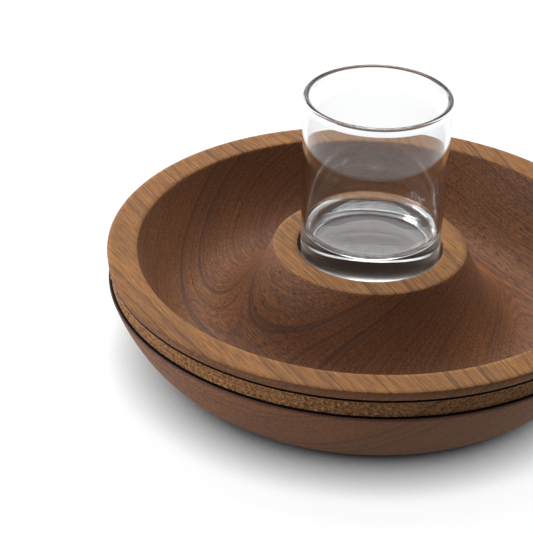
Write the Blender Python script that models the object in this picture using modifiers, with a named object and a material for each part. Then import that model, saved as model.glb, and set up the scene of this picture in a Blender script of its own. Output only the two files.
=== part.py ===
"""Chip and dip server: a turned wooden bowl with a central boss, and a glass that drops into the boss.

Units are metres and +Z is up.  The origin is the centre of the foot, on the table.
Both pieces are turned about the Z axis.  A profile is a list of (radius, height) points that starts on
the axis, runs outward over the upper side, down the outer side and back along the underside to the axis.
"""

import math

import bpy
from mathutils import Vector
from mathutils.geometry import interpolate_bezier

ASSEMBLY_NAME = "chip_and_dip_server"

# Bowl, rim and side bands.  A lip is its (radius, drop), and a drop is measured down from the rim land.
RIM_RADIUS = 0.1530
RIM_LAND_WIDTH = 0.0173
EDGE_BREAK = 0.0004
UPPER_GROOVE_TOP_LIP = (0.1525, 0.0052)
UPPER_GROOVE_BOTTOM_LIP = (0.1520, 0.0069)
LOWER_GROOVE_TOP_LIP = (0.1506, 0.0166)
LOWER_GROOVE_BOTTOM_LIP = (0.1519, 0.0174)
GROOVE_DEPTH = 0.0012

# Bowl, belly and foot.
BELLY_TOP = (0.1523, 0.0186)
BELLY_DRAW_IN = 0.0098
BELLY_SIDE_REACH = 0.0270
BELLY_UNDER_REACH = 0.0246
BELLY_UNDER_RISE = 0.0015
FOOT_RADIUS = 0.1000

# Bowl, trough.
FLOOR_THICKNESS = 0.0230
TROUGH_DEPTH = 0.0470
TROUGH_FLOOR_RADIUS = 0.0985
WALL_DRAFT = 0.0085
WALL_REACH = 0.0280
WALL_FLOOR_REACH = 0.0180
FLANK_DRAFT = 0.0112
FLANK_REACH = 0.0280
FLANK_FLOOR_REACH = 0.0185

# Bowl, boss and socket.
BOSS_RISE = 0.0007
BOSS_LAND_WIDTH = 0.0140
SOCKET_DEPTH = 0.0155
SOCKET_CLEARANCE = 0.0021
SEAT_GAP = 0.0003

# Glass.
GLASS_HEIGHT = 0.1110
GLASS_BASE_RADIUS = 0.0404
GLASS_MOUTH_RADIUS = 0.0423
GLASS_WALL = 0.0027
GLASS_BEAD_WIDTH = 0.0034
GLASS_BEAD_DROP = 0.0050
GLASS_FLOOR_THICKNESS = 0.0190
GLASS_INNER_CORNER_RADIUS = 0.0080
GLASS_HEEL_RADIUS = 0.0035
GLASS_PUSH_UP_RISE = 0.0015
GLASS_PUSH_UP_RADIUS = 0.0300
GLASS_PUSH_UP_SLOPE_WIDTH = 0.0040

# Facets of the turned shapes.
BOWL_STEPS = 72
GLASS_STEPS = 48
CURVE_POINTS = 10
ARC_POINTS = 5
MERGE_DISTANCE = 0.00001

WOOD = {"name": "oiled_walnut", "color": (0.165, 0.075, 0.032, 1.0), "roughness": 0.45, "metallic": 0.0}
GLASS = {"name": "clear_glass", "color": (0.86, 0.90, 0.91, 1.0), "roughness": 0.03, "metallic": 0.0}


def clear_scene():
    """Remove every object that the scene starts with."""
    for item in list(bpy.data.objects):
        bpy.data.objects.remove(item, do_unlink=True)


def make_collection(name):
    """Return a new collection linked to the scene."""
    collection = bpy.data.collections.new(name)
    bpy.context.scene.collection.children.link(collection)
    return collection


def make_material(finish):
    """Return a Principled material with the finish's colour, roughness and metallic value."""
    material = bpy.data.materials.new(finish["name"])
    material.use_nodes = True
    shader = material.node_tree.nodes["Principled BSDF"]
    shader.inputs["Base Color"].default_value = finish["color"]
    shader.inputs["Roughness"].default_value = finish["roughness"]
    shader.inputs["Metallic"].default_value = finish["metallic"]
    material.diffuse_color = finish["color"]
    return material


def curve_points(start, start_handle, end_handle, end):
    """Return points along a cubic curve in the profile plane, both ends included."""
    knots = [Vector((radius, height, 0.0)) for radius, height in (start, start_handle, end_handle, end)]
    return [(point.x, point.y) for point in interpolate_bezier(*knots, CURVE_POINTS)]


def arc_points(center, radius, start_degrees, end_degrees):
    """Return points along a circular arc in the profile plane, both ends included."""
    points = []
    for index in range(ARC_POINTS):
        angle = math.radians(start_degrees + (end_degrees - start_degrees) * index / (ARC_POINTS - 1))
        points.append((center[0] + radius * math.cos(angle), center[1] + radius * math.sin(angle)))
    return points


def groove_points(top_lip, bottom_lip, rim_height):
    """Return a groove with a flat bottom half its width, cut between two lips of the outer side."""
    bottom_radius = min(top_lip[0], bottom_lip[0]) - GROOVE_DEPTH
    quarter_width = (bottom_lip[1] - top_lip[1]) / 4
    return [
        (top_lip[0], rim_height - top_lip[1]),
        (bottom_radius, rim_height - top_lip[1] - quarter_width),
        (bottom_radius, rim_height - bottom_lip[1] + quarter_width),
        (bottom_lip[0], rim_height - bottom_lip[1]),
    ]


def land_points(inner_radius, outer_radius, height):
    """Return a flat ring whose two edges are broken by a small chamfer, inner edge first."""
    return [
        (inner_radius, height - EDGE_BREAK),
        (inner_radius + EDGE_BREAK, height),
        (outer_radius - EDGE_BREAK, height),
        (outer_radius, height - EDGE_BREAK),
    ]


def trough_points(boss_radius, boss_height, rim_inner_radius, rim_height):
    """Return the trough: down the boss flank, across the rounded floor and up the outer wall."""
    flank_top = (boss_radius, boss_height - EDGE_BREAK)
    wall_top = (rim_inner_radius, rim_height - EDGE_BREAK)
    floor = (TROUGH_FLOOR_RADIUS, FLOOR_THICKNESS)
    flank = curve_points(
        flank_top,
        (flank_top[0] + FLANK_DRAFT, flank_top[1] - FLANK_REACH),
        (floor[0] - FLANK_FLOOR_REACH, floor[1]),
        floor,
    )
    wall = curve_points(
        floor,
        (floor[0] + WALL_FLOOR_REACH, floor[1]),
        (wall_top[0] - WALL_DRAFT, wall_top[1] - WALL_REACH),
        wall_top,
    )
    return flank[1:] + wall[1:-1]


def outside_points(rim_height):
    """Return the bowl's outer side below the rim: both grooves, the belly and the foot's edge."""
    upper = groove_points(UPPER_GROOVE_TOP_LIP, UPPER_GROOVE_BOTTOM_LIP, rim_height)
    lower = groove_points(LOWER_GROOVE_TOP_LIP, LOWER_GROOVE_BOTTOM_LIP, rim_height)
    belly_top = (BELLY_TOP[0], rim_height - BELLY_TOP[1])
    belly = curve_points(
        belly_top,
        (belly_top[0] - BELLY_DRAW_IN, belly_top[1] - BELLY_SIDE_REACH),
        (FOOT_RADIUS + BELLY_UNDER_REACH, BELLY_UNDER_RISE),
        (FOOT_RADIUS, 0.0),
    )
    return upper + lower + belly


def bowl_profile():
    """Return the bowl's whole profile, from the middle of the socket floor to the middle of the foot."""
    rim_height = FLOOR_THICKNESS + TROUGH_DEPTH
    boss_height = rim_height + BOSS_RISE
    socket_radius = GLASS_BASE_RADIUS + SOCKET_CLEARANCE
    boss_radius = socket_radius + BOSS_LAND_WIDTH
    rim_inner_radius = RIM_RADIUS - RIM_LAND_WIDTH
    socket_floor = boss_height - SOCKET_DEPTH
    return (
        [(0.0, socket_floor), (socket_radius, socket_floor)]
        + land_points(socket_radius, boss_radius, boss_height)
        + trough_points(boss_radius, boss_height, rim_inner_radius, rim_height)
        + land_points(rim_inner_radius, RIM_RADIUS, rim_height)
        + outside_points(rim_height)
        + [(0.0, 0.0)]
    )


def glass_profile():
    """Return the glass's profile, from the middle of its inner floor to the middle of its base."""
    base = FLOOR_THICKNESS + TROUGH_DEPTH + BOSS_RISE - SOCKET_DEPTH + SEAT_GAP
    mouth = base + GLASS_HEIGHT
    inner_floor = base + GLASS_FLOOR_THICKNESS
    taper = (GLASS_MOUTH_RADIUS - GLASS_BASE_RADIUS) / GLASS_HEIGHT
    corner_height = inner_floor + GLASS_INNER_CORNER_RADIUS
    corner_wall = GLASS_BASE_RADIUS + taper * (corner_height - base) - GLASS_WALL
    bead_height = mouth - GLASS_BEAD_DROP
    bead_wall = GLASS_MOUTH_RADIUS - taper * GLASS_BEAD_DROP
    bead_radius = GLASS_BEAD_WIDTH / 2
    bead_center = (GLASS_MOUTH_RADIUS - bead_radius, mouth - bead_radius)
    heel_center = (GLASS_BASE_RADIUS - GLASS_HEEL_RADIUS, base + GLASS_HEEL_RADIUS)
    inner_corner = arc_points(
        (corner_wall - GLASS_INNER_CORNER_RADIUS, corner_height), GLASS_INNER_CORNER_RADIUS, -90, 0)
    push_up_edge = (GLASS_PUSH_UP_RADIUS, base)
    push_up_flat = (GLASS_PUSH_UP_RADIUS - GLASS_PUSH_UP_SLOPE_WIDTH, base + GLASS_PUSH_UP_RISE)
    push_up_middle = GLASS_PUSH_UP_RADIUS - GLASS_PUSH_UP_SLOPE_WIDTH / 2
    push_up = curve_points(
        push_up_edge,
        (push_up_middle, push_up_edge[1]),
        (push_up_middle, push_up_flat[1]),
        push_up_flat,
    )
    return (
        [(0.0, inner_floor)]
        + inner_corner
        + [(bead_wall - GLASS_WALL, bead_height)]
        + arc_points(bead_center, bead_radius, 180, 0)
        + [(bead_wall, bead_height)]
        + arc_points(heel_center, GLASS_HEEL_RADIUS, 0, -90)
        + push_up
        + [(0.0, push_up_flat[1])]
    )


def turn(name, profile, steps, finish, collection):
    """Return a closed turned object: the profile swept once round the Z axis."""
    mesh = bpy.data.meshes.new(name)
    points = [(radius, 0.0, height) for radius, height in profile]
    edges = [(index, index + 1) for index in range(len(points) - 1)]
    mesh.from_pydata(points, edges, [])
    mesh.materials.append(make_material(finish))
    item = bpy.data.objects.new(name, mesh)
    collection.objects.link(item)
    screw = item.modifiers.new("turned", "SCREW")
    screw.axis = "Z"
    screw.angle = math.tau
    screw.steps = steps
    screw.render_steps = steps
    screw.use_merge_vertices = True
    screw.merge_threshold = MERGE_DISTANCE
    screw.use_smooth_shade = True
    return item


def main():
    """Build the bowl and the glass in the assembly's collection."""
    clear_scene()
    collection = make_collection(ASSEMBLY_NAME)
    turn("server_body", bowl_profile(), BOWL_STEPS, WOOD, collection)
    turn("dip_glass", glass_profile(), GLASS_STEPS, GLASS, collection)


if __name__ == "__main__":
    main()
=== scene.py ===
"""Looks of the chip and dip server: one turned walnut bowl and the clear tumbler that stands in its boss.

Sizes are in metres and +Z is up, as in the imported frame.  Both pieces are turned about the Z axis, and a
profile is a list of (radius, height) points.  Lengths in the wood's pattern are in millimetres.
"""

import logging
import math
from dataclasses import dataclass
from enum import Enum
from typing import Any

import bmesh
import bpy
from mathutils import Matrix, Vector, noise
from mathutils.geometry import interpolate_bezier


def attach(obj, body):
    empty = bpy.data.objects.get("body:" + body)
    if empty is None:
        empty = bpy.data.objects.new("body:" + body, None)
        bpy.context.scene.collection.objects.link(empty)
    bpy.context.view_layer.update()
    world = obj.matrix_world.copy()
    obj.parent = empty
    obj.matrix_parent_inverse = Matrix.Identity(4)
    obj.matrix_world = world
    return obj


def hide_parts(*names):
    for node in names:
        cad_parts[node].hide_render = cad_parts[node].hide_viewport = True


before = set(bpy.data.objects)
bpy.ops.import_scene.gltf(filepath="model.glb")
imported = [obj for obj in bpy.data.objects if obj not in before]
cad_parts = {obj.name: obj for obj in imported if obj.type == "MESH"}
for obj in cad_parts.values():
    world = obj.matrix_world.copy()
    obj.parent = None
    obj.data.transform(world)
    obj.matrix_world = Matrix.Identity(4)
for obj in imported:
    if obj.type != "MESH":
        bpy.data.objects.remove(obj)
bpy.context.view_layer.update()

Point = tuple[float, float]
Range = tuple[float, float]
Place = tuple[float, float, float]
Color = tuple[float, float, float, float]
Tree = bpy.types.NodeTree
Socket = bpy.types.NodeSocket

MILLIMETRES = 1000.0
MERGE_DISTANCE = 0.000005
EDGE_TOLERANCE = 0.000005

# Noise lies round the middle, mostly less than 0.25 away, so times the gain it spans about -1 to 1.
NOISE_MIDDLE = 0.5
NOISE_GAIN = 4.0

# How much of the white surroundings shows in rough gloss.  Glass and mirrors show all of them.
ROUGH_SHARE = 0.9

# Ray depths are whole numbers, so this one parts a path that has met no matt surface from all others.
BEFORE_FIRST_BOUNCE = 0.5

logger = logging.getLogger("chip_and_dip_server")


def linear(hex_color: str) -> Color:
    """Turn an sRGB colour into the linear colour that a shader takes.

    Args:
        hex_color: Six hex digits, red first.

    Returns:
        The linear colour, with an alpha of 1.
    """
    channels = [int(hex_color[start:start + 2], 16) / 255 for start in (0, 2, 4)]
    curved = [c / 12.92 if c <= 0.04045 else ((c + 0.055) / 1.055) ** 2.4 for c in channels]
    return (*curved, 1.0)


def add_node(tree: Tree, kind: str, inputs: dict[Any, Any] | None = None,
             **settings: Any) -> bpy.types.Node:
    """Add a node to a tree, set it up and feed its inputs.

    Args:
        tree: Node tree that takes the node.
        kind: Name of the node's type.
        inputs: Input names or numbers, each with a plain value or an output socket to link from.
        settings: Attributes of the node, such as its operation.

    Returns:
        The new node.
    """
    node = tree.nodes.new(kind)
    for attribute, value in settings.items():
        setattr(node, attribute, value)
    for key, value in (inputs or {}).items():
        if isinstance(value, bpy.types.NodeSocket):
            tree.links.new(value, node.inputs[key])
        else:
            node.inputs[key].default_value = value
    return node


def new_material(name: str) -> tuple[bpy.types.Material, bpy.types.Node]:
    """Make a material with an empty Principled shader.

    Args:
        name: Name of the material.

    Returns:
        The material and its Principled node.
    """
    material = bpy.data.materials.new(name)
    material.use_nodes = True
    return material, material.node_tree.nodes["Principled BSDF"]


class Slot(Enum):
    """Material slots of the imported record."""

    WOOD = "oiled_wood"
    GLASS = "clear_glass"


class WoodZone(Enum):
    """Parts of the bowl's surface with their own finishes, by number of material slot.  The lands' lighter
    colour is painted light, and the socket's dark colour is painted shade.
    """

    OILED = 0
    PAINTED_LIGHT_LAND = 1
    TOOLED = 2
    SCORCHED = 3
    SINGED = 4
    SOCKET = 5


@dataclass(frozen=True)
class Log:
    """Where the blank was cut from the tree.  Rings are cylinders round a slightly bowed pith.

    Lengths are in millimetres.  Along is the grain's direction, across is level and square to it, and up
    is measured from the rim.  The pith bows with the square of the distance along, the rings are a little
    oval, and they crowd together with the cube of the distance across.  The knot stands upright at an x
    and y of the bowl.
    """

    rim_height: float = 70.0
    grain_degrees: float = -56.9
    pith_across: float = 102.8
    pith_below_rim: float = 173.8
    pith_rise: float = 0.0129
    bow_across: float = 0.00066
    bow_up: float = 0.00073
    oval: float = 0.93
    crowding: float = 0.0000151
    knot_place: Point = (86.0, 90.0)
    knot_swell: float = 5.0
    knot_length: float = 30.0
    knot_width: float = 22.0
    sway: float = 0.5
    sway_length: float = 60.0
    ripple: float = 0.22
    ripple_length: float = 14.0
    wander_squeeze: float = 0.35

    def place(self, tree: Tree) -> Socket:
        """Turn the object's coordinates into the log's: along, across and up from the rim.

        Args:
            tree: Node tree of the material.

        Returns:
            The place as a vector in millimetres.
        """
        coordinates = add_node(tree, "ShaderNodeTexCoord")
        turned = add_node(tree, "ShaderNodeMapping",
                          {"Vector": coordinates.outputs["Object"],
                           "Rotation": (0.0, 0.0, math.radians(-self.grain_degrees)),
                           "Scale": (MILLIMETRES,) * 3,
                           "Location": (0.0, 0.0, -self.rim_height)})
        return turned.outputs[0]

    def ring_radius(self, tree: Tree, place: Socket) -> Socket:
        """Find how far out in the tree a place grew.

        Args:
            tree: Node tree of the material.
            place: The log coordinates.

        Returns:
            The distance from the pith in millimetres.
        """
        radius = self.pith_distance(tree, self.wander(tree, place))
        return self.swell(tree, place, radius)

    def wander(self, tree: Tree, place: Socket) -> Socket:
        """Bend the rings a little to and fro, in long sways and short ripples.

        Args:
            tree: Node tree of the material.
            place: The log coordinates.

        Returns:
            The log coordinates, pushed across and up.
        """
        bent = place
        for amount, length in ((self.sway, self.sway_length), (self.ripple, self.ripple_length)):
            scale = (self.wander_squeeze / length, 1.0 / length, 1.0 / length)
            push = (0.0, NOISE_GAIN * amount, NOISE_GAIN * amount)
            stretched = add_node(tree, "ShaderNodeVectorMath", {0: place, 1: scale}, operation="MULTIPLY")
            cloud = add_node(tree, "ShaderNodeTexNoise",
                             {"Vector": stretched.outputs[0], "Scale": 1.0, "Detail": 1.0})
            centred = add_node(tree, "ShaderNodeVectorMath",
                               {0: cloud.outputs["Color"], 1: (NOISE_MIDDLE,) * 3}, operation="SUBTRACT")
            pushed = add_node(tree, "ShaderNodeVectorMath", {0: centred.outputs[0], 1: push, 2: bent},
                              operation="MULTIPLY_ADD")
            bent = pushed.outputs[0]
        return bent

    def pith_distance(self, tree: Tree, place: Socket) -> Socket:
        """Measure from the bowed pith, in oval and crowded rings.

        Args:
            tree: Node tree of the material.
            place: The log coordinates.

        Returns:
            The distance from the pith in millimetres.
        """
        parts = add_node(tree, "ShaderNodeSeparateXYZ", {0: place})
        along, across, up = parts.outputs
        bow = add_node(tree, "ShaderNodeMath", {0: along, 1: along}, operation="MULTIPLY")
        side = add_node(tree, "ShaderNodeMath", {0: bow.outputs[0], 1: -self.bow_across, 2: across},
                        operation="MULTIPLY_ADD")
        side = add_node(tree, "ShaderNodeMath",
                        {0: side.outputs[0], 1: self.oval, 2: -self.oval * self.pith_across},
                        operation="MULTIPLY_ADD")
        height = add_node(tree, "ShaderNodeMath", {0: bow.outputs[0], 1: -self.bow_up, 2: up},
                          operation="MULTIPLY_ADD")
        height = add_node(tree, "ShaderNodeMath", {0: along, 1: -self.pith_rise, 2: height.outputs[0]},
                          operation="MULTIPLY_ADD")
        height = add_node(tree, "ShaderNodeMath", {0: height.outputs[0], 1: self.pith_below_rim})
        section = add_node(tree, "ShaderNodeCombineXYZ", {0: side.outputs[0], 1: height.outputs[0]})
        radius = add_node(tree, "ShaderNodeVectorMath", {0: section.outputs[0]}, operation="LENGTH")
        cube = add_node(tree, "ShaderNodeMath", {0: across, 1: 3.0}, operation="POWER")
        crowded = add_node(tree, "ShaderNodeMath",
                           {0: cube.outputs[0], 1: self.crowding, 2: radius.outputs["Value"]},
                           operation="MULTIPLY_ADD")
        return crowded.outputs[0]

    def swell(self, tree: Tree, place: Socket, radius: Socket) -> Socket:
        """Push the rings out round a buried knot, most at its middle and bell-shaped round it.

        Args:
            tree: Node tree of the material.
            place: The log coordinates.
            radius: Distance from the pith before the knot.

        Returns:
            The distance from the pith with the knot's swelling added.
        """
        knot = Matrix.Rotation(math.radians(-self.grain_degrees), 2) @ Vector(self.knot_place)
        offset = add_node(tree, "ShaderNodeVectorMath", {0: place, 1: (knot.x, knot.y, 0.0)},
                          operation="SUBTRACT")
        scaled = add_node(tree, "ShaderNodeVectorMath",
                          {0: offset.outputs[0], 1: (1 / self.knot_length, 1 / self.knot_width, 0.0)},
                          operation="MULTIPLY")
        square = add_node(tree, "ShaderNodeVectorMath", {0: scaled.outputs[0], 1: scaled.outputs[0]},
                          operation="DOT_PRODUCT")
        bell = add_node(tree, "ShaderNodeMath", {0: math.exp(-1.0), 1: square.outputs["Value"]},
                        operation="POWER")
        swollen = add_node(tree, "ShaderNodeMath", {0: bell.outputs[0], 1: self.knot_swell, 2: radius},
                           operation="MULTIPLY_ADD")
        return swollen.outputs[0]


@dataclass(frozen=True)
class WalnutFinish:
    """Turned and oiled walnut: brown heartwood with darker rings, streaks along the grain and open pores.

    One solid pattern runs through the whole blank, so that a ring passes unbroken from one surface to the
    next.  A range is the stretch of noise, or of one year's growth, over which its mark comes on.  A ring
    fades in slowly and ends at once, where the latewood of one year meets the next spring.
    """

    name: str
    light: str = "a66837"
    deep: str = "54331d"
    late: str = "3b1f16"
    pore: str = "24120a"
    roughness: float = 0.68
    specular: float = 0.47

    # Fibres: fine streaks a little lighter and darker than the wood, drawn 0.9 mm wide so that they show.
    fibre_length: float = 16.0
    fibre_width: float = 0.9
    fibre_range: Range = (0.36, 0.64)

    # Figure: slow clouds along the log, a few centimetres across.
    figure_length: float = 90.0
    figure_width: float = 26.0
    figure_share: float = 0.45

    # Pores: short dark dashes along the grain, a little sunk and drawn 0.6 mm wide so that they show.
    pore_length: float = 5.5
    pore_width: float = 0.62
    pore_range: Range = (0.56, 0.70)
    pore_depth: float = 1.0
    pore_bump: float = 0.25
    pore_bump_metres: float = 0.0002

    # Rings: one line a year, each year as dark as chance makes it, with faint lines between them.
    ring_spacing: float = 3.4
    uneven_scale: float = 0.7
    uneven_years: float = 2.6
    late_range: Range = (0.62, 0.97)
    late_sharpness: float = 2.0
    year_strength: Range = (0.10, 0.90)
    faint_scale: float = 3.2
    faint_range: Range = (0.42, 0.72)
    faint_strength: float = 0.40

    # A few years stand out: each is a number of steps from the pith, and how dark it is.
    mark_spacing: float = 5.0
    mark_half_width: float = 0.8
    marks: tuple[tuple[int, float], ...] = ((32, 0.40), (40, 0.75), (41, 0.40), (42, 0.35))

    blank: Log = Log()

    def build(self) -> bpy.types.Material:
        """Make the material: streaked wood, then the rings, then the pores over both.

        Returns:
            The new material.
        """
        material, shader = new_material(self.name)
        tree = material.node_tree
        place = self.blank.place(tree)
        late = self.growth_rings(tree, self.blank.ring_radius(tree, place))
        pores = self.pores(tree, place)

        base = add_node(tree, "ShaderNodeMix",
                        {0: self.streaks(tree, place), 6: linear(self.deep), 7: linear(self.light)},
                        data_type="RGBA")
        ringed = add_node(tree, "ShaderNodeMix", {0: late, 6: base.outputs[2], 7: linear(self.late)},
                          data_type="RGBA")
        pored = add_node(tree, "ShaderNodeMix", {0: pores, 6: ringed.outputs[2], 7: linear(self.pore)},
                         data_type="RGBA")
        sunk = add_node(tree, "ShaderNodeBump",
                        {"Height": pores, "Strength": self.pore_bump, "Distance": self.pore_bump_metres},
                        invert=True)
        tree.links.new(pored.outputs[2], shader.inputs["Base Color"])
        tree.links.new(sunk.outputs[0], shader.inputs["Normal"])
        shader.inputs["Roughness"].default_value = self.roughness
        shader.inputs["Specular IOR Level"].default_value = self.specular
        return material

    def grain(self, tree: Tree, place: Socket, length: float, width: float, detail: float) -> Socket:
        """Make noise that is stretched along the grain.

        Args:
            tree: Node tree of the material.
            place: The log coordinates.
            length: Size along the grain in millimetres.
            width: Size across the grain in millimetres.
            detail: Octaves of finer noise.

        Returns:
            The noise, from 0 to 1.
        """
        scale = (1 / length, 1 / width, 1 / width)
        stretched = add_node(tree, "ShaderNodeVectorMath", {0: place, 1: scale}, operation="MULTIPLY")
        cloud = add_node(tree, "ShaderNodeTexNoise",
                         {"Vector": stretched.outputs[0], "Scale": 1.0, "Detail": detail})
        return cloud.outputs["Fac"]

    def streaks(self, tree: Tree, place: Socket) -> Socket:
        """Mix the fibres with the slower figure.

        Args:
            tree: Node tree of the material.
            place: The log coordinates.

        Returns:
            How light the wood is, from 0 to 1.
        """
        fibres = self.grain(tree, place, self.fibre_length, self.fibre_width, detail=3.0)
        streaked = add_node(tree, "ShaderNodeMapRange",
                            {"Value": fibres, "From Min": self.fibre_range[0],
                             "From Max": self.fibre_range[1]})
        figure = self.grain(tree, place, self.figure_length, self.figure_width, detail=1.0)
        both = add_node(tree, "ShaderNodeMix", {0: self.figure_share, 2: streaked.outputs[0], 3: figure})
        return both.outputs[0]

    def pores(self, tree: Tree, place: Socket) -> Socket:
        """Scatter the open pores.

        Args:
            tree: Node tree of the material.
            place: The log coordinates.

        Returns:
            How deep in a pore the place lies, from 0 to the pore depth.
        """
        dashes = self.grain(tree, place, self.pore_length, self.pore_width, detail=1.0)
        cut = add_node(tree, "ShaderNodeMapRange",
                       {"Value": dashes, "From Min": self.pore_range[0], "From Max": self.pore_range[1],
                        "To Max": self.pore_depth})
        return cut.outputs[0]

    def growth_rings(self, tree: Tree, radius: Socket) -> Socket:
        """Add up the yearly rings, the faint lines between them and the marked years.

        Args:
            tree: Node tree of the material.
            radius: Distance from the pith in millimetres.

        Returns:
            How dark the latewood is, from 0 to 1.
        """
        years = add_node(tree, "ShaderNodeMath", {0: radius, 1: 1 / self.ring_spacing}, operation="MULTIPLY")
        yearly = self.year_lines(tree, years.outputs[0])
        faint = self.faint_lines(tree, years.outputs[0])
        total = add_node(tree, "ShaderNodeMath", {0: yearly, 1: faint})
        for step, darkness in self.marks:
            away = add_node(tree, "ShaderNodeMath", {0: radius, 1: step * self.mark_spacing},
                            operation="SUBTRACT")
            away = add_node(tree, "ShaderNodeMath", {0: away.outputs[0]}, operation="ABSOLUTE")
            mark = add_node(tree, "ShaderNodeMapRange",
                            {"Value": away.outputs[0], "From Max": self.mark_half_width,
                             "To Min": darkness, "To Max": 0.0})
            total = add_node(tree, "ShaderNodeMath", {0: total.outputs[0], 1: mark.outputs[0]})
        capped = add_node(tree, "ShaderNodeMath", {0: total.outputs[0], 1: 1.0}, operation="MINIMUM")
        return capped.outputs[0]

    def year_lines(self, tree: Tree, years: Socket) -> Socket:
        """Draw one line a year, at uneven distances and of uneven strength.

        Args:
            tree: Node tree of the material.
            years: Distance from the pith, in ring spacings.

        Returns:
            How dark the year's latewood is, from 0 to 1.
        """
        start, end = self.late_range
        uneven = add_node(tree, "ShaderNodeTexNoise",
                          {"W": years, "Scale": self.uneven_scale, "Detail": 1.0}, noise_dimensions="1D")
        shifted = add_node(tree, "ShaderNodeMath", {0: uneven.outputs["Fac"], 1: self.uneven_years, 2: years},
                           operation="MULTIPLY_ADD")
        growth = add_node(tree, "ShaderNodeMath", {0: shifted.outputs[0]}, operation="FRACT")
        rise = add_node(tree, "ShaderNodeMapRange",
                        {"Value": growth.outputs[0], "From Min": start, "From Max": end})
        fall = add_node(tree, "ShaderNodeMapRange",
                        {"Value": growth.outputs[0], "From Min": end, "To Min": 1.0, "To Max": 0.0})
        line = add_node(tree, "ShaderNodeMath", {0: rise.outputs[0], 1: fall.outputs[0]},
                        operation="MULTIPLY")
        sharp = add_node(tree, "ShaderNodeMath", {0: line.outputs[0], 1: self.late_sharpness},
                         operation="POWER")
        count = add_node(tree, "ShaderNodeMath", {0: shifted.outputs[0]}, operation="FLOOR")
        chance = add_node(tree, "ShaderNodeTexWhiteNoise", {"W": count.outputs[0]}, noise_dimensions="1D")
        strength = add_node(tree, "ShaderNodeMapRange",
                            {"Value": chance.outputs["Value"], "To Min": self.year_strength[0],
                             "To Max": self.year_strength[1]})
        ring = add_node(tree, "ShaderNodeMath", {0: sharp.outputs[0], 1: strength.outputs[0]},
                        operation="MULTIPLY")
        return ring.outputs[0]

    def faint_lines(self, tree: Tree, years: Socket) -> Socket:
        """Draw the faint lines between the rings.

        Args:
            tree: Node tree of the material.
            years: Distance from the pith, in ring spacings.

        Returns:
            How dark the line is, from 0 to the faint strength.
        """
        fine = add_node(tree, "ShaderNodeTexNoise", {"W": years, "Scale": self.faint_scale, "Detail": 2.0},
                        noise_dimensions="1D")
        faint = add_node(tree, "ShaderNodeMapRange",
                         {"Value": fine.outputs["Fac"], "From Min": self.faint_range[0],
                          "From Max": self.faint_range[1], "To Max": self.faint_strength})
        return faint.outputs[0]


@dataclass(frozen=True)
class ScorchedFinish:
    """Wood burnt by a wire held against the turning bowl: dull black charcoal in the grooves."""

    name: str = "scorched_walnut"
    char: str = "060403"
    roughness: float = 0.9
    specular: float = 0.1

    def build(self) -> bpy.types.Material:
        """Make the material: one dark colour, with hardly any gloss.

        Returns:
            The new material.
        """
        material, shader = new_material(self.name)
        shader.inputs["Base Color"].default_value = linear(self.char)
        shader.inputs["Roughness"].default_value = self.roughness
        shader.inputs["Specular IOR Level"].default_value = self.specular
        return material


@dataclass(frozen=True)
class ClearGlass:
    """Pressed and fire-polished soda-lime glass: colourless, with dark and bright lines where it curves."""

    name: str = "soda_lime_glass"
    tint: str = "f8fafb"
    shadow: str = "f4f6f7"
    refraction: float = 1.51
    roughness: float = 0.0

    def build(self) -> bpy.types.Material:
        """Make the material.

        Light that only passes through on its way to the wood goes straight, so that the glass casts a thin
        shadow and no noisy caustics.

        Returns:
            The new material.
        """
        material, shader = new_material(self.name)
        shader.inputs["Base Color"].default_value = linear(self.tint)
        shader.inputs["Roughness"].default_value = self.roughness
        shader.inputs["IOR"].default_value = self.refraction
        shader.inputs["Transmission Weight"].default_value = 1.0
        tree = material.node_tree
        rays = add_node(tree, "ShaderNodeLightPath")
        lighting = add_node(tree, "ShaderNodeMath",
                            {0: rays.outputs["Is Shadow Ray"], 1: rays.outputs["Is Diffuse Ray"]},
                            operation="MAXIMUM")
        clear = add_node(tree, "ShaderNodeBsdfTransparent", {"Color": linear(self.shadow)})
        mixed = add_node(tree, "ShaderNodeMixShader",
                         {0: lighting.outputs[0], 1: shader.outputs[0], 2: clear.outputs[0]})
        tree.links.new(mixed.outputs[0], tree.nodes["Material Output"].inputs["Surface"])
        return material


def curve(start: Point, start_handle: Point, end_handle: Point, end: Point, count: int) -> list[Point]:
    """Run along a cubic curve in the profile plane.

    Args:
        start: First point.
        start_handle: Point that the curve leaves towards.
        end_handle: Point that the curve arrives from.
        end: Last point.
        count: How many points to return.

    Returns:
        The points, both ends included.
    """
    knots = [Vector((radius, height, 0.0)) for radius, height in (start, start_handle, end_handle, end)]
    return [(point.x, point.y) for point in interpolate_bezier(*knots, count)]


def arc(center: Point, radii: Point, start_degrees: float, end_degrees: float, count: int) -> list[Point]:
    """Run along an elliptical arc in the profile plane.

    Args:
        center: Middle of the ellipse.
        radii: Half its width and half its height.
        start_degrees: Angle of the first point, counted from outward towards up.
        end_degrees: Angle of the last point.
        count: How many points to return.

    Returns:
        The points, both ends included.
    """
    angles = [math.radians(start_degrees + (end_degrees - start_degrees) * index / (count - 1))
              for index in range(count)]
    return [(center[0] + radii[0] * math.cos(angle), center[1] + radii[1] * math.sin(angle))
            for angle in angles]


def refine(profile: list[Point], step: float) -> list[Point]:
    """Split a profile's long stretches so that smooth shading stays true on straight walls.

    Args:
        profile: Points of the profile.
        step: Longest stretch that is left whole.

    Returns:
        The profile with points added along its straight stretches.
    """
    points = [profile[0]]
    for start, end in zip(profile, profile[1:]):
        count = max(1, math.ceil(math.dist(start, end) / step))
        points += [(start[0] + (end[0] - start[0]) * index / count,
                    start[1] + (end[1] - start[1]) * index / count) for index in range(1, count + 1)]
    return points


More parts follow.
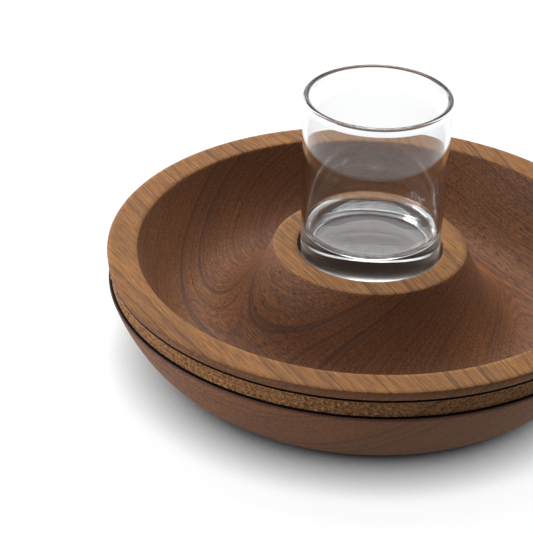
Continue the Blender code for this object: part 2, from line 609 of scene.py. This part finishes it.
def turn(name: str, profile: list[Point], steps: int) -> bpy.types.Object:
    """Turn a profile once round the Z axis into a closed piece.

    Args:
        name: Name of the piece.
        profile: Points from the axis on the upper side round to the axis on the underside.
        steps: Facets in the full turn.

    Returns:
        The new object, smooth shaded, with its normals outward.
    """
    mesh = bpy.data.meshes.new(name)
    shape = bmesh.new()
    corners = [shape.verts.new((radius, 0.0, height)) for radius, height in profile]
    edges = [shape.edges.new(pair) for pair in zip(corners, corners[1:])]
    bmesh.ops.spin(shape, geom=corners + edges, cent=(0.0, 0.0, 0.0), axis=(0.0, 0.0, 1.0),
                   dvec=(0.0, 0.0, 0.0), angle=math.tau, steps=steps, use_merge=True,
                   use_duplicate=False)
    bmesh.ops.remove_doubles(shape, verts=shape.verts, dist=MERGE_DISTANCE)
    bmesh.ops.recalc_face_normals(shape, faces=shape.faces)
    for face in shape.faces:
        face.smooth = True
    shape.to_mesh(mesh)
    shape.free()
    piece = bpy.data.objects.new(name, mesh)
    bpy.context.scene.collection.objects.link(piece)
    return piece


@dataclass
class WalnutBowl:
    """The bowl: rim, two scorched grooves, belly, foot, trough and boss, turned from one blank.

    A lip is a (radius, drop) pair, and a drop is measured down from the rim land.
    """

    # Rim and side.
    rim_radius: float = 0.1530
    rim_land_width: float = 0.0173
    edge_break: float = 0.0004
    upper_groove_lips: tuple[Point, Point] = ((0.1525, 0.0052), (0.1520, 0.0069))
    lower_groove_lips: tuple[Point, Point] = ((0.1506, 0.0166), (0.1519, 0.0174))
    groove_depth: float = 0.0012

    # Belly and foot.
    belly_top: Point = (0.1523, 0.0186)
    belly_draw_in: float = 0.0098
    belly_side_reach: float = 0.0270
    belly_under_reach: float = 0.0246
    belly_under_rise: float = 0.0015
    foot_radius: float = 0.1000

    # Trough.
    floor_thickness: float = 0.0230
    trough_depth: float = 0.0470
    trough_floor_radius: float = 0.0985
    wall_draft: float = 0.0085
    wall_reach: float = 0.0280
    wall_floor_reach: float = 0.0180
    flank_draft: float = 0.0112
    flank_reach: float = 0.0280
    flank_floor_reach: float = 0.0185

    # Boss and socket.
    boss_rise: float = 0.0007
    boss_land_width: float = 0.0140
    socket_radius: float = 0.0425
    socket_depth: float = 0.0155
    seat_gap: float = 0.0003

    # Band between the grooves: scales that the texturing tool left between its cuts, and finer specks.
    band_cuts: int = 7
    cut_size: Point = (0.0036, 0.0026)
    cut_depth: float = 0.0014
    cut_level: float = 0.5
    speck_size: float = 0.0011
    speck_depth: float = 0.00032

    # Facets.
    steps: int = 192
    curve_points: int = 28
    longest_stretch: float = 0.0030

    @property
    def rim_height(self) -> float:
        """Height of the rim land above the table."""
        return self.floor_thickness + self.trough_depth

    @property
    def boss_height(self) -> float:
        """Height of the boss land above the table."""
        return self.rim_height + self.boss_rise

    @property
    def seat_height(self) -> float:
        """Height of the glass's base above the table."""
        return self.boss_height - self.socket_depth + self.seat_gap

    @property
    def side_radius(self) -> float:
        """Radius inside which the side above the belly never reaches, even at the bottom of a groove."""
        return self.lower_groove_lips[0][0] - 2 * self.groove_depth

    def land(self, inner: float, outer: float, height: float) -> list[Point]:
        """Cut a flat ring whose two edges are broken by a small chamfer.

        Args:
            inner: Inner radius.
            outer: Outer radius.
            height: Height of the flat.

        Returns:
            The ring's points, inner edge first.
        """
        broken = self.edge_break
        return [(inner, height - broken), (inner + broken, height), (outer - broken, height),
                (outer, height - broken)]

    def groove(self, lips: tuple[Point, Point]) -> list[Point]:
        """Cut a side groove with a flat bottom half its width.

        Args:
            lips: Its upper and its lower lip.

        Returns:
            The groove's points, upper lip first.
        """
        top, bottom = lips
        deep = min(top[0], bottom[0]) - self.groove_depth
        quarter = (bottom[1] - top[1]) / 4
        return [(top[0], self.rim_height - top[1]), (deep, self.rim_height - top[1] - quarter),
                (deep, self.rim_height - bottom[1] + quarter), (bottom[0], self.rim_height - bottom[1])]

    def trough(self, boss_radius: float, rim_inner: float) -> list[Point]:
        """Cut the trough: down the boss flank, across the floor and up the outer wall.

        Args:
            boss_radius: Outer radius of the boss land.
            rim_inner: Inner radius of the rim land.

        Returns:
            The trough's points between the two lands.
        """
        top = (boss_radius, self.boss_height - self.edge_break)
        end = (rim_inner, self.rim_height - self.edge_break)
        floor = (self.trough_floor_radius, self.floor_thickness)
        flank = curve(top, (top[0] + self.flank_draft, top[1] - self.flank_reach),
                      (floor[0] - self.flank_floor_reach, floor[1]), floor, self.curve_points)
        wall = curve(floor, (floor[0] + self.wall_floor_reach, floor[1]),
                     (end[0] - self.wall_draft, end[1] - self.wall_reach), end, self.curve_points)
        return flank[1:] + wall[1:-1]

    def outside(self) -> list[Point]:
        """Cut the outer side: both grooves, the belly and the foot's edge.

        Returns:
            The side's points, from the upper groove down to the foot.
        """
        top = (self.belly_top[0], self.rim_height - self.belly_top[1])
        belly = curve(top, (top[0] - self.belly_draw_in, top[1] - self.belly_side_reach),
                      (self.foot_radius + self.belly_under_reach, self.belly_under_rise),
                      (self.foot_radius, 0.0), self.curve_points)
        return self.groove(self.upper_groove_lips) + self.groove(self.lower_groove_lips) + belly

    def profile(self) -> list[Point]:
        """Join the whole profile.

        Returns:
            Its points, from the middle of the socket floor to the middle of the foot.
        """
        boss_radius = self.socket_radius + self.boss_land_width
        rim_inner = self.rim_radius - self.rim_land_width
        socket_floor = self.boss_height - self.socket_depth
        return ([(0.0, socket_floor), (self.socket_radius, socket_floor)]
                + self.land(self.socket_radius, boss_radius, self.boss_height)
                + self.trough(boss_radius, rim_inner)
                + self.land(rim_inner, self.rim_radius, self.rim_height)
                + self.outside()
                + [(0.0, 0.0)])

    def build(self) -> bpy.types.Object:
        """Build and dress the bowl, and tell the frame what it stands for.

        Returns:
            The bowl.
        """
        piece = turn("walnut_bowl", refine(self.profile(), self.longest_stretch), self.steps)
        self.tool_band(piece.data)
        self.dress(piece)
        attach(piece, "server")
        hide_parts("server_body")
        return piece

    def tool_band(self, mesh: bpy.types.Mesh) -> None:
        """Chatter the band between the grooves with a texturing tool, into small scales between cuts.

        Only corners inside the band move, so its edges still meet the grooves.

        Args:
            mesh: Mesh of the bowl, changed in place.
        """
        shape = bmesh.new()
        shape.from_mesh(mesh)
        band = [face for face in shape.faces if self.is_tooled(face)]
        edges = {edge for face in band for edge in face.edges}
        made = bmesh.ops.subdivide_edges(shape, edges=list(edges), cuts=self.band_cuts, use_grid_fill=True)
        border = {corner for face in shape.faces if not self.is_tooled(face) for corner in face.verts}
        fresh = {item for item in made["geom_inner"] if isinstance(item, bmesh.types.BMVert)}
        for corner in fresh - border:
            radius = math.hypot(corner.co.x, corner.co.y)
            around = math.atan2(corner.co.x, -corner.co.y) * radius
            grow = 1 + self.cut_push(around, corner.co.z) / radius
            corner.co.x *= grow
            corner.co.y *= grow
        for face in shape.faces:
            face.smooth = True
        shape.to_mesh(mesh)
        shape.free()

    def cut_push(self, around: float, height: float) -> float:
        """Find how far the texturing tool leaves the band's surface from the turned one.

        Args:
            around: Distance round the band.
            height: Height above the table.

        Returns:
            The push outwards, in metres: most in the middle of a scale, and below 0 along the cuts.
        """
        width, tall = self.cut_size
        nearest, second = noise.voronoi(Vector((around / width, height / tall, 0.0)))[0][:2]
        speck = noise.noise(Vector((around, height, 0.0)) / self.speck_size)
        return self.cut_depth * (second - nearest - self.cut_level) + self.speck_depth * speck

    def is_tooled(self, face: bmesh.types.BMFace) -> bool:
        """Tell whether a face lies on the textured band."""
        return self.zone_of(face.calc_center_median()) is WoodZone.TOOLED

    def zone_of(self, place: Vector) -> WoodZone:
        """Return how the surface was worked at a place on the bowl."""
        return self.zone_at(math.hypot(place.x, place.y), place.z)

    def zone_at(self, radius: float, height: float) -> WoodZone:
        """Find how the surface was worked at a place on the profile.

        Args:
            radius: Distance from the axis.
            height: Height above the table.

        Returns:
            The zone that the place lies in.
        """
        drop = self.rim_height - height
        # Inside the socket, darkened as painted shade.
        if radius < self.socket_radius + EDGE_TOLERANCE and height > self.floor_thickness:
            return WoodZone.SOCKET
        # The flat lands, coloured lighter as painted light from above.
        if drop < self.edge_break and radius > self.socket_radius:
            return WoodZone.PAINTED_LIGHT_LAND
        if radius < self.side_radius:
            return WoodZone.OILED
        for top, bottom in (self.upper_groove_lips, self.lower_groove_lips):
            if top[1] < drop < bottom[1]:
                return WoodZone.SCORCHED
        if self.lower_groove_lips[1][1] < drop < self.belly_top[1]:
            return WoodZone.SINGED
        tooled = self.upper_groove_lips[1][1] < drop < self.lower_groove_lips[0][1]
        return WoodZone.TOOLED if tooled else WoodZone.OILED

    def finish_of(self, zone: WoodZone) -> WalnutFinish | ScorchedFinish:
        """Choose the finish of a zone.

        Args:
            zone: Part of the surface.

        Returns:
            The finish that the zone is dressed in.
        """
        if zone is WoodZone.PAINTED_LIGHT_LAND:
            # The flat lands: lighter and yellower as painted light for the light from above on the tops, with
            # less gloss and the pores half filled.
            return WalnutFinish("painted_light_land_walnut", light="bc8243", deep="704423", roughness=0.62,
                                specular=0.22, pore_depth=0.45)
        if zone is WoodZone.TOOLED:
            # Torn open by the texturing tool: pale and dull, its fibres cut so short that they look grainy.
            return WalnutFinish("tooled_walnut", light="d39a60", deep="6d4123", roughness=0.7,
                                specular=0.31, fibre_length=1.4)
        if zone is WoodZone.SCORCHED:
            return ScorchedFinish()
        if zone is WoodZone.SINGED:
            # Browned by the heat beside the lower groove: a narrow reddish edge.
            return WalnutFinish("singed_walnut", light="6e3a2c", deep="432319")
        if zone is WoodZone.SOCKET:
            # Inside the socket: dark brown as painted shade for the recess under the glass, with little
            # gloss.
            return WalnutFinish("painted_shade_socket_walnut", light="50331f", deep="331f12", specular=0.12)
        # Turned and oiled: warm brown, with a soft sheen.
        return WalnutFinish("oiled_walnut")

    def dress(self, piece: bpy.types.Object) -> None:
        """Give each zone of the bowl its finish.

        Args:
            piece: The bowl, which takes one material for each zone in the zones' order.
        """
        for zone in WoodZone:
            piece.data.materials.append(self.finish_of(zone).build())
        for face in piece.data.polygons:
            face.material_index = self.zone_of(face.center).value


@dataclass
class Tumbler:
    """The straight-sided, heavy-based glass that drops into the socket."""

    base_height: float
    height: float = 0.1110
    base_radius: float = 0.0404
    mouth_radius: float = 0.0423
    wall: float = 0.0027
    bead_width: float = 0.0034
    bead_drop: float = 0.0050
    floor_thickness: float = 0.0226
    corner_radii: Point = (0.0235, 0.0085)
    heel_radius: float = 0.0020
    push_up_rise: float = 0.0001
    push_up_radius: float = 0.0326
    push_up_slope: float = 0.0025
    underside_roughness: float = 0.12

    # Facets.
    steps: int = 256
    corner_points: int = 24
    bead_points: int = 16
    foot_points: int = 12
    longest_stretch: float = 0.0012

    def profile(self) -> list[Point]:
        """Join the whole profile: inner floor, wall, rim bead, outer wall, heel and push-up.

        Returns:
            Its points, from the middle of the inner floor to the middle of the base.
        """
        base = self.base_height
        mouth = base + self.height
        floor = base + self.floor_thickness
        taper = (self.mouth_radius - self.base_radius) / self.height
        corner = floor + self.corner_radii[1]
        corner_wall = self.base_radius + taper * (corner - base) - self.wall
        bead = mouth - self.bead_drop
        bead_wall = self.mouth_radius - taper * self.bead_drop
        round_bead = self.bead_width / 2
        bead_center = (self.mouth_radius - round_bead, mouth - round_bead)
        heel = self.heel_radius
        heel_center = (self.base_radius - heel, base + heel)
        middle = self.push_up_radius - self.push_up_slope / 2
        inside = self.push_up_radius - self.push_up_slope
        raised = base + self.push_up_rise
        return ([(0.0, floor)]
                + arc((corner_wall - self.corner_radii[0], corner), self.corner_radii, -90, 0,
                      self.corner_points)
                + [(bead_wall - self.wall, bead)]
                + arc(bead_center, (round_bead, round_bead), 180, 0, self.bead_points)
                + [(bead_wall, bead)]
                + arc(heel_center, (heel, heel), 0, -90, self.foot_points)
                + curve((self.push_up_radius, base), (middle, base), (middle, raised), (inside, raised),
                        self.foot_points)
                + [(0.0, raised)])

    def build(self) -> bpy.types.Object:
        """Build and dress the glass, and tell the frame what it stands for.

        Returns:
            The glass.
        """
        piece = turn("tumbler", refine(self.profile(), self.longest_stretch), self.steps)
        self.dress(piece)
        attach(piece, "glass")
        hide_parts("dip_glass")
        return piece

    def dress(self, piece: bpy.types.Object) -> None:
        """Give the glass its polished finish and its underside the moulded one.

        Args:
            piece: The glass, which takes both materials.
        """
        # Left as the mould made it: slightly dull, so that the light caught under the base spreads out.
        underside = ClearGlass("moulded_glass_underside", roughness=self.underside_roughness)
        for finish in (ClearGlass(), underside):
            piece.data.materials.append(finish.build())
        for face in piece.data.polygons:
            below = face.center.z < self.base_height + self.heel_radius / 2
            face.material_index = 1 if below else 0


def seen_directly(tree: Tree) -> Socket:
    """Tell rays that show a surface, straight or by way of glass or gloss, from rays that light one.

    Args:
        tree: Node tree that takes the nodes.

    Returns:
        1 where the ray shows a surface, the rough share where it left rough gloss, and 0 otherwise.
    """
    rays = add_node(tree, "ShaderNodeLightPath")
    sharp = add_node(tree, "ShaderNodeMath", {0: rays.outputs["Is Singular Ray"], 1: ROUGH_SHARE},
                     operation="MAXIMUM")
    glossy = add_node(tree, "ShaderNodeMath", {0: rays.outputs["Is Glossy Ray"], 1: sharp.outputs[0]},
                      operation="MULTIPLY")
    direct = add_node(tree, "ShaderNodeMath",
                      {0: rays.outputs["Is Camera Ray"], 1: rays.outputs["Is Transmission Ray"]},
                      operation="MAXIMUM")
    carried = add_node(tree, "ShaderNodeMath", {0: direct.outputs[0], 1: glossy.outputs[0]},
                       operation="MAXIMUM")
    # A path that has met a matt surface is cut, so that the white surroundings never light the wood.
    fresh = add_node(tree, "ShaderNodeMath", {0: rays.outputs["Diffuse Depth"], 1: BEFORE_FIRST_BOUNCE},
                     operation="LESS_THAN")
    kept = add_node(tree, "ShaderNodeMath", {0: carried.outputs[0], 1: fresh.outputs[0]},
                    operation="MULTIPLY")
    return kept.outputs[0]


@dataclass(frozen=True)
class Softbox:
    """One square studio lamp, placed by compass angle and height angle round the bowl and facing it."""

    name: str
    compass_degrees: float
    height_degrees: float
    power: float
    size: float = 0.9
    distance: float = 1.6
    aim: Place = (0.0, 0.0, 0.05)

    def build(self) -> bpy.types.Object:
        """Hang the lamp and turn it towards its aim.

        Returns:
            The lamp's object.
        """
        lamp = bpy.data.lights.new(self.name, "AREA")
        lamp.size = self.size
        lamp.energy = self.power
        turn_round = Matrix.Rotation(math.radians(self.compass_degrees), 3, "Z")
        tip_up = Matrix.Rotation(math.radians(-self.height_degrees), 3, "Y")
        reach = turn_round @ tip_up @ Vector((self.distance, 0.0, 0.0))
        holder = bpy.data.objects.new(self.name, lamp)
        holder.location = Vector(self.aim) + reach
        holder.rotation_euler = reach.to_track_quat("Z", "Y").to_euler()
        bpy.context.scene.collection.objects.link(holder)
        return holder


@dataclass(frozen=True)
class WhiteTable:
    """Matt white table top: seen directly, a clean white glow with a painted soft shadow of the bowl on it.

    Its white glow fades, as a painted shadow, with the share of the surroundings within shadow_reach that is
    open: from all of its glow at white_from down to nothing at black_to.  The lamps add real shade on top.
    Other rays meet a plain matt table, which throws some of the lamps' light back up.
    """

    name: str = "matt_white_table"
    color: str = "c8c8c8"
    roughness: float = 0.9
    glow: float = 0.94
    shade: str = "6e6e6e"
    shadow_reach: float = 0.050
    shadow_samples: int = 16
    black_to: float = 0.14
    white_from: float = 0.64

    def build(self) -> bpy.types.Material:
        """Make the material.

        Returns:
            The new material.
        """
        material, shader = new_material(self.name)
        tree = material.node_tree
        shader.inputs["Base Color"].default_value = linear(self.color)
        shader.inputs["Roughness"].default_value = self.roughness
        # Painted shadow: the white glow is dimmed where the bowl closes in the surroundings, not by any lamp.
        nearby = add_node(tree, "ShaderNodeAmbientOcclusion", {"Distance": self.shadow_reach},
                          samples=self.shadow_samples)
        painted_shadow_glow = add_node(tree, "ShaderNodeMapRange",
                            {"Value": nearby.outputs["AO"], "From Min": self.black_to,
                             "From Max": self.white_from, "To Max": self.glow})
        white = add_node(tree, "ShaderNodeEmission", {"Strength": painted_shadow_glow.outputs[0]})
        lit = add_node(tree, "ShaderNodeBsdfDiffuse", {"Color": linear(self.shade)})
        seen = add_node(tree, "ShaderNodeAddShader", {0: white.outputs[0], 1: lit.outputs[0]})
        mixed = add_node(tree, "ShaderNodeMixShader",
                         {0: seen_directly(tree), 1: shader.outputs[0], 2: seen.outputs[0]})
        tree.links.new(mixed.outputs[0], tree.nodes["Material Output"].inputs["Surface"])
        return material


@dataclass
class Studio:
    """The pale table, the lamps, the even room light and the camera."""

    table_size: float = 6.0
    room_color: str = "ffffff"
    room_strength: float = 0.026
    camera_place: Place = (0.0, -1.0256, 0.66067)
    camera_aim: Place = (-0.05832, -0.03114, 0.0700)
    camera_roll_degrees: float = 1.538
    lens: float = 136.96
    sensor: float = 36.0
    farthest: float = 50.0
    lamps: tuple[Softbox, ...] = (
        Softbox("low_corner_softbox", 135.0, 12.0, 11.0),
        Softbox("back_softbox", 90.0, 68.0, 18.0),
        Softbox("left_softbox", 180.0, 42.0, 0.8),
        Softbox("low_right_softbox", 45.0, 20.0, 2.0),
        Softbox("low_left_softbox", 194.0, 4.0, 19.0),
        Softbox("right_softbox", 0.0, 42.0, 0.4),
        Softbox("corner_softbox", 135.0, 58.0, 3.0),
        Softbox("low_back_softbox", 95.0, 18.0, 2.7),
    )

    def build_table(self) -> None:
        """Lay the table under the foot."""
        mesh = bpy.data.meshes.new("studio_table")
        shape = bmesh.new()
        bmesh.ops.create_grid(shape, x_segments=1, y_segments=1, size=self.table_size / 2)
        shape.to_mesh(mesh)
        shape.free()
        table = bpy.data.objects.new("studio_table", mesh)
        bpy.context.scene.collection.objects.link(table)
        mesh.materials.append(WhiteTable().build())

    def build_room(self) -> None:
        """Set the room's faint even light, which shows as white behind the pieces and in the glass."""
        world = bpy.data.worlds.new("studio_room")
        world.use_nodes = True
        tree = world.node_tree
        strength = add_node(tree, "ShaderNodeMath", {0: seen_directly(tree), 1: self.room_strength},
                            operation="MAXIMUM")
        tree.links.new(strength.outputs[0], tree.nodes["Background"].inputs["Strength"])
        tree.nodes["Background"].inputs["Color"].default_value = linear(self.room_color)
        bpy.context.scene.world = world

    def build_camera(self) -> None:
        """Stand the camera in front of the bowl, looking down at it."""
        camera = bpy.data.cameras.new("studio_camera")
        camera.sensor_width = self.sensor
        camera.lens = self.lens
        camera.clip_end = self.farthest
        holder = bpy.data.objects.new("studio_camera", camera)
        look = (Vector(self.camera_aim) - Vector(self.camera_place)).to_track_quat("-Z", "Y")
        roll = Matrix.Rotation(math.radians(self.camera_roll_degrees), 4, "Z")
        holder.matrix_world = Matrix.Translation(self.camera_place) @ look.to_matrix().to_4x4() @ roll
        bpy.context.scene.collection.objects.link(holder)
        bpy.context.scene.camera = holder

    def build(self) -> None:
        """Build the whole studio."""
        self.build_table()
        for lamp in self.lamps:
            lamp.build()
        self.build_room()
        self.build_camera()
        bpy.context.scene.view_settings.view_transform = "Standard"


def main() -> None:
    """Build the pieces in order and report each one."""
    logging.basicConfig(level=logging.INFO, format="%(name)s: %(message)s")
    bowl = WalnutBowl()
    for maker in (bowl, Tumbler(base_height=bowl.seat_height)):
        piece = maker.build()
        logger.info("%s has %d faces", piece.name, len(piece.data.polygons))
    Studio().build()
    logger.info("studio is set")


if __name__ == "__main__":
    main()
